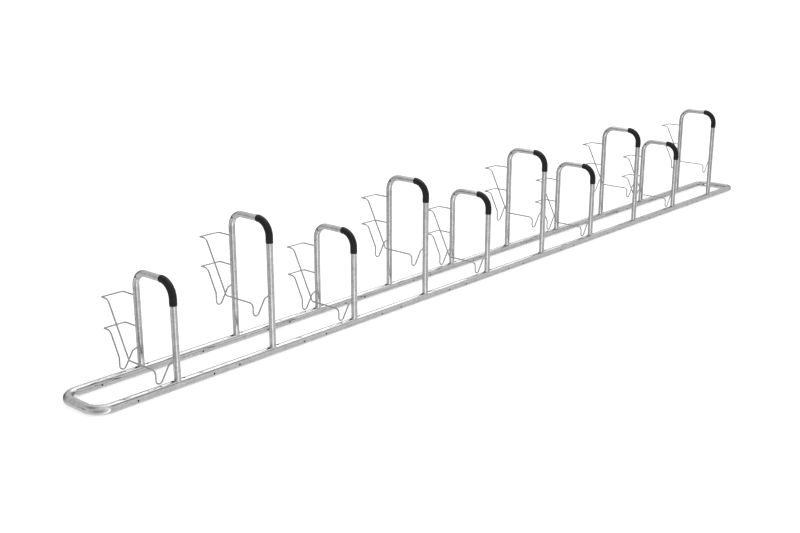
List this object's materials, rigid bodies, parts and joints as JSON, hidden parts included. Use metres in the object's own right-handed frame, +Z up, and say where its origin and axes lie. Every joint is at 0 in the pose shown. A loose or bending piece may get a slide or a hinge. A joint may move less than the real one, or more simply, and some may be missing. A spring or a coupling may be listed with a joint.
{
  "type": "two tier bike rack",
  "caption": "Free-standing welded tube bike rack: a ground loop with inverted-U hoops, low and high in turn, each with bent rods that hold a front wheel and a rubber sleeve.",
  "frame": {"origin": "on the ground, under the centre of the rack's bounding box", "axes": "+X along the row of places to the right, +Y from the sleeved front of the hoops to the back stops, +Z up"},
  "size_m": [6.3382, 0.4212, 0.7228],
  "materials": {
    "galvanised_base": "hot-dip galvanised, bright, faintly mottled",
    "galvanised_tube": "hot-dip galvanised, satin, faintly mottled",
    "galvanised_rod": "hot-dip galvanised, satin",
    "black_rubber": "matte moulded rubber"
  },
  "bodies": {
    "root": {"front_rail": "galvanised_base", "rear_rail": "galvanised_base", "left_end_bow": "galvanised_base", "right_end_bow": "galvanised_base", "hoop_01": "galvanised_tube", "sleeve_01": "black_rubber", "upper_rod_01": "galvanised_rod", "lower_rod_01": "galvanised_rod", "hoop_02": "galvanised_tube", "sleeve_02": "black_rubber", "upper_rod_02": "galvanised_rod", "lower_rod_02": "galvanised_rod", "hoop_03": "galvanised_tube", "sleeve_03": "black_rubber", "upper_rod_03": "galvanised_rod", "lower_rod_03": "galvanised_rod", "hoop_04": "galvanised_tube", "sleeve_04": "black_rubber", "upper_rod_04": "galvanised_rod", "lower_rod_04": "galvanised_rod", "hoop_05": "galvanised_tube", "sleeve_05": "black_rubber", "upper_rod_05": "galvanised_rod", "lower_rod_05": "galvanised_rod", "hoop_06": "galvanised_tube", "sleeve_06": "black_rubber", "upper_rod_06": "galvanised_rod", "lower_rod_06": "galvanised_rod", "hoop_07": "galvanised_tube", "sleeve_07": "black_rubber", "upper_rod_07": "galvanised_rod", "lower_rod_07": "galvanised_rod", "hoop_08": "galvanised_tube", "sleeve_08": "black_rubber", "upper_rod_08": "galvanised_rod", "lower_rod_08": "galvanised_rod", "hoop_09": "galvanised_tube", "sleeve_09": "black_rubber", "upper_rod_09": "galvanised_rod", "lower_rod_09": "galvanised_rod", "hoop_10": "galvanised_tube", "sleeve_10": "black_rubber", "upper_rod_10": "galvanised_rod", "lower_rod_10": "galvanised_rod"}
  },
  "joints": []
}
